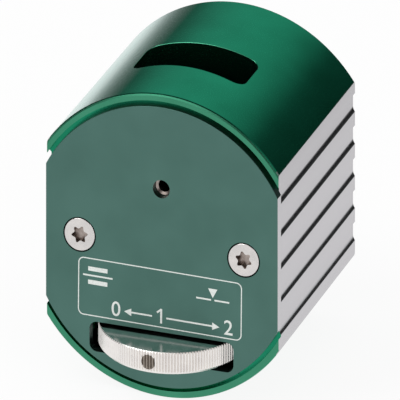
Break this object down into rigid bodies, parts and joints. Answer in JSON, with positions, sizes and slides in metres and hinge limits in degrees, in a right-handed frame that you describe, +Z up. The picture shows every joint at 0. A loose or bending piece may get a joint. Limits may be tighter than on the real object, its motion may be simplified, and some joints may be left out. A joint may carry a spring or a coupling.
{
  "type": "fibre cleaver",
  "caption": "Palm-sized hand-held fibre cleaver: a round bar with stepped grip flats, a front plate with a fibre entry, and a thumbwheel that clamps, scores and frees the fibre.",
  "frame": {"origin": "middle of the footprint, on the surface that the tool stands on", "axes": "+X to the user's right, across the grip flats; +Y back into the tool, away from the front plate; +Z up, towards the window"},
  "size_m": [0.0406, 0.046, 0.05],
  "materials": {
    "anodised_body": "green anodised, satin",
    "anodised_plate": "green anodised, brushed",
    "screw_steel": "plain",
    "polished_steel": "nickel plated, polished",
    "index_metal": "tarnished",
    "ground_steel": "ground",
    "gear_steel": "machined",
    "spring_steel": "drawn wire and strip",
    "bearing_bronze": "plain",
    "black_aluminium": "black anodised",
    "carbide": "ground hard metal"
  },
  "bodies": {
    "housing": {"housing": "anodised_body", "anvil": "ground_steel", "axle_lower_bush": "bearing_bronze", "axle_upper_bush": "bearing_bronze", "blade_rail": "ground_steel", "blade_spring": "spring_steel", "blade_spring_screw": "ground_steel", "camshaft_lower_bush": "bearing_bronze", "camshaft_upper_bush": "bearing_bronze", "centring_spring": "spring_steel", "chassis": "black_aluminium", "entry_bush": "ground_steel", "front_plate": "anodised_plate", "front_plate_screws": "screw_steel", "guide_block": "black_aluminium", "guide_nozzle": "ground_steel", "jaw_guide": "black_aluminium", "jaw_guide_screws": "ground_steel", "jaw_spring": "spring_steel", "spring_stop": "ground_steel"},
    "wheel": {"thumbwheel": "polished_steel", "index_pin": "index_metal", "wheel_axle": "ground_steel", "wheel_screw": "ground_steel", "drive_gear": "gear_steel", "spring_driver": "ground_steel"},
    "camshaft": {"camshaft": "ground_steel", "cam_gear": "gear_steel", "snail_cam": "gear_steel", "clamp_roller": "gear_steel"},
    "carriage": {"blade_carriage": "black_aluminium", "blade": "carbide", "blade_clamp": "black_aluminium", "blade_clamp_screw": "ground_steel", "follower_pin": "ground_steel"},
    "jaw": {"jaw": "black_aluminium", "jaw_pad": "carbide", "jaw_clip": "ground_steel"}
  },
  "joints": [
    {"name": "wheel_turn", "type": "hinge", "parent": "housing", "child": "wheel", "pos_m": [0, -0.0105, 0.0106], "axis": [0, 0, 1], "range_deg": [-36, 62], "stiffness_Nm_per_rad": 0.03, "deforming": ["centring_spring"]},
    {"name": "camshaft_turn", "type": "hinge", "parent": "housing", "child": "camshaft", "pos_m": [0.00307, 0.0012, 0.0299], "axis": [0, 0, 1], "range_deg": [-77.5, 45]},
    {"name": "blade_slide", "type": "slide", "parent": "housing", "child": "carriage", "axis": [1, 0, 0], "range_m": [-0.0012, 0.0007], "deforming": ["blade_spring"]},
    {"name": "jaw_slide", "type": "slide", "parent": "housing", "child": "jaw", "axis": [1, 0, 0], "range_m": [-0.0004, 0], "stiffness_N_per_m": 300, "springref_m": 0.001, "deforming": ["jaw_spring"]}
  ],
  "couplings": [
    {"joint": "camshaft_turn", "follows": "wheel_turn", "ratio": -1.25},
    {"joint": "blade_slide", "follows": "wheel_turn", "m_per_rad": -0.0011089}
  ]
}
